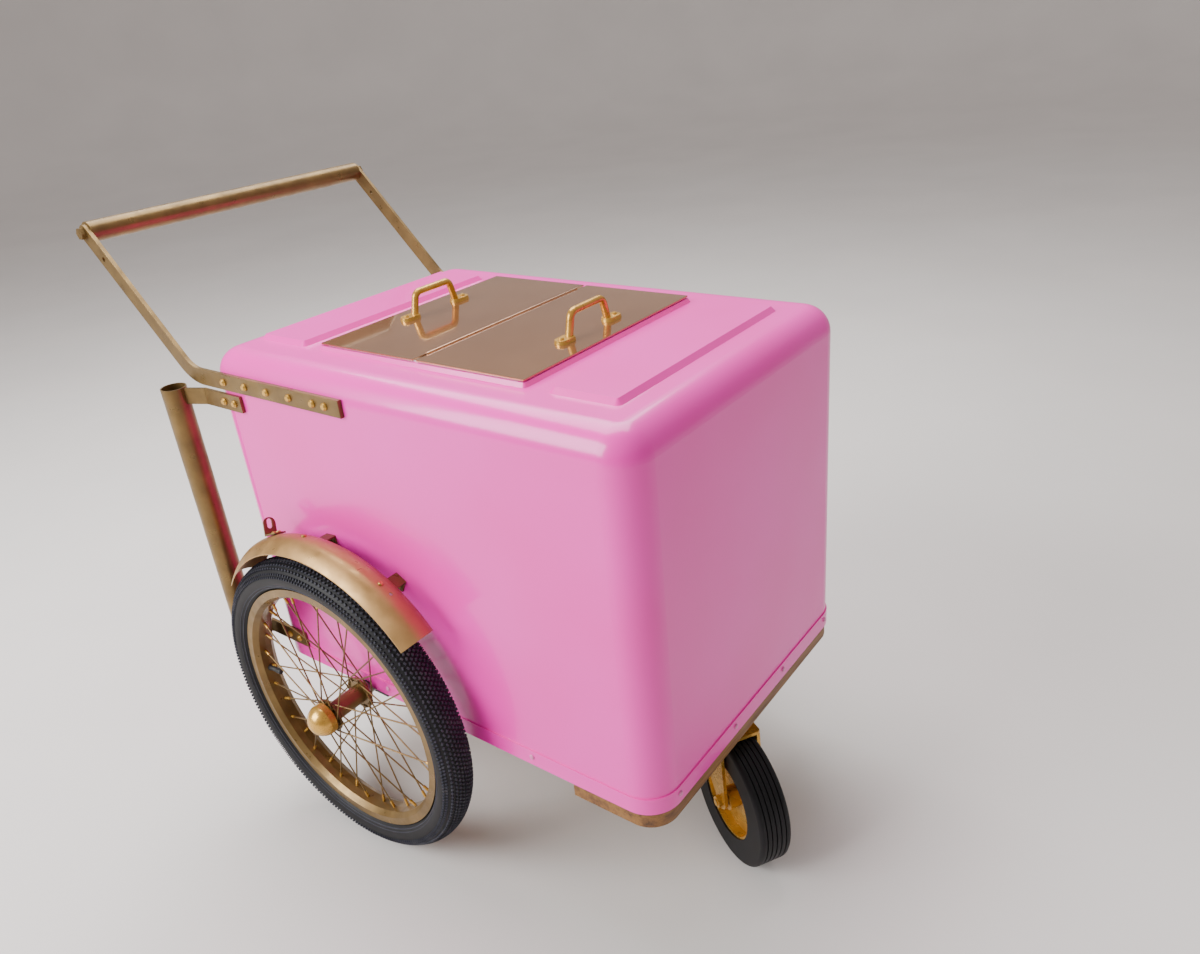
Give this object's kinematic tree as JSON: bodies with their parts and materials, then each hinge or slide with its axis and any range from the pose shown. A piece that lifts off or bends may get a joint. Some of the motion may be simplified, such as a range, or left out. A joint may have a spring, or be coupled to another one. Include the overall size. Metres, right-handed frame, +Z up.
{
  "type": "push vending cart",
  "caption": "Insulated ice cream push cart: rounded box with two hinged lids, spoked side wheels with mudguards, front swivel caster, bar push handle and umbrella tube.",
  "frame": {"origin": "on the ground, under the middle of the overall length and width", "axes": "+X forward towards the caster, +Y to the cart's left, +Z up"},
  "size_m": [1.0832, 0.754, 0.959],
  "materials": {
    "pink_gelcoat": "glossy sprayed fibreglass gelcoat",
    "gold_paint": "sprayed metallic gold paint",
    "gold_lid_paint": "smooth glossy metallic gold paint",
    "gold_cast": "gold-painted castings",
    "tyre_rubber": "moulded tread, slightly dusty",
    "black_rubber": "matt moulded rubber",
    "painted_plank": "plank with worn gold-brown paint",
    "white_liner": "white food-safe moulding",
    "foam": "rigid foam",
    "plywood": "sheet plywood",
    "bright_steel": "zinc-plated steel",
    "black_chassis": "satin black chassis paint"
  },
  "bodies": {
    "cart": {"outer_shell": "pink_gelcoat", "skirt_band": "pink_gelcoat", "body_screws": "pink_gelcoat", "tub_liner": "white_liner", "foam_insulation": "foam", "base_panel": "plywood", "centre_divider": "white_liner", "hinge_centre_knuckles": "gold_lid_paint", "hinge_pin": "bright_steel", "chassis_frame": "black_chassis", "axle_clamp_blocks": "black_chassis", "chassis_bolts": "bright_steel", "caster_board": "painted_plank", "axle": "bright_steel", "axle_nuts_and_spacers": "bright_steel", "right_fender": "gold_paint", "left_fender": "gold_paint", "fender_brackets": "gold_paint", "caster_top_plate": "gold_cast", "caster_kingpin": "bright_steel", "handle_arm_right": "gold_paint", "handle_arm_left": "gold_paint", "handle_grip_tube": "gold_paint", "handle_tie_rod": "gold_paint", "umbrella_tube": "gold_paint", "umbrella_tube_foot": "black_rubber", "umbrella_straps": "gold_paint", "body_bolts": "gold_cast"},
    "rear_lid": {"rear_lid_panel": "gold_lid_paint", "rear_lid_plug": "white_liner", "rear_lid_seal": "black_rubber", "rear_lid_handle": "gold_cast", "rear_handle_screws": "gold_cast", "rear_hinge_leaf": "gold_lid_paint"},
    "front_lid": {"front_lid_panel": "gold_lid_paint", "front_lid_plug": "white_liner", "front_lid_seal": "black_rubber", "front_lid_handle": "gold_cast", "front_handle_screws": "gold_cast", "front_hinge_leaf": "gold_lid_paint"},
    "right_wheel": {"right_wheel_rim": "gold_paint", "right_wheel_tyre": "tyre_rubber", "right_wheel_hub": "gold_paint", "right_wheel_bearings": "bright_steel", "right_hub_cap": "gold_cast", "right_wheel_spokes": "gold_paint", "right_wheel_nipples": "gold_cast"},
    "left_wheel": {"left_wheel_rim": "gold_paint", "left_wheel_tyre": "tyre_rubber", "left_wheel_hub": "gold_paint", "left_wheel_bearings": "bright_steel", "left_hub_cap": "gold_cast", "left_wheel_spokes": "gold_paint", "left_wheel_nipples": "gold_cast"},
    "caster_swivel": {"caster_fork": "gold_cast", "caster_axle_bolt": "gold_cast", "caster_bearing_balls": "bright_steel"},
    "caster_wheel": {"caster_wheel_bush": "bright_steel", "caster_wheel_rim": "gold_cast", "caster_wheel_tyre": "tyre_rubber"}
  },
  "joints": [
    {"name": "right_wheel_spin", "type": "hinge", "parent": "cart", "child": "right_wheel", "pos_m": [-0.08761, -0.311, 0.254], "axis": [0, 1, 0], "continuous": true},
    {"name": "left_wheel_spin", "type": "hinge", "parent": "cart", "child": "left_wheel", "pos_m": [-0.08761, 0.311, 0.254], "axis": [0, 1, 0], "continuous": true},
    {"name": "caster_swivel_turn", "type": "hinge", "parent": "cart", "child": "caster_swivel", "pos_m": [0.39039, 0, 0.215], "axis": [0, 0, 1], "continuous": true},
    {"name": "caster_wheel_spin", "type": "hinge", "parent": "caster_swivel", "child": "caster_wheel", "pos_m": [0.44268, -0.03142, 0.103], "axis": [0.515, 0.8572, 0], "continuous": true},
    {"name": "rear_lid_hinge", "type": "hinge", "parent": "cart", "child": "rear_lid", "pos_m": [0.06939, 0, 0.7923], "axis": [0, 1, 0], "range_deg": [0, 70]},
    {"name": "front_lid_hinge", "type": "hinge", "parent": "cart", "child": "front_lid", "pos_m": [0.06939, 0, 0.7923], "axis": [0, -1, 0], "range_deg": [0, 70]}
  ]
}
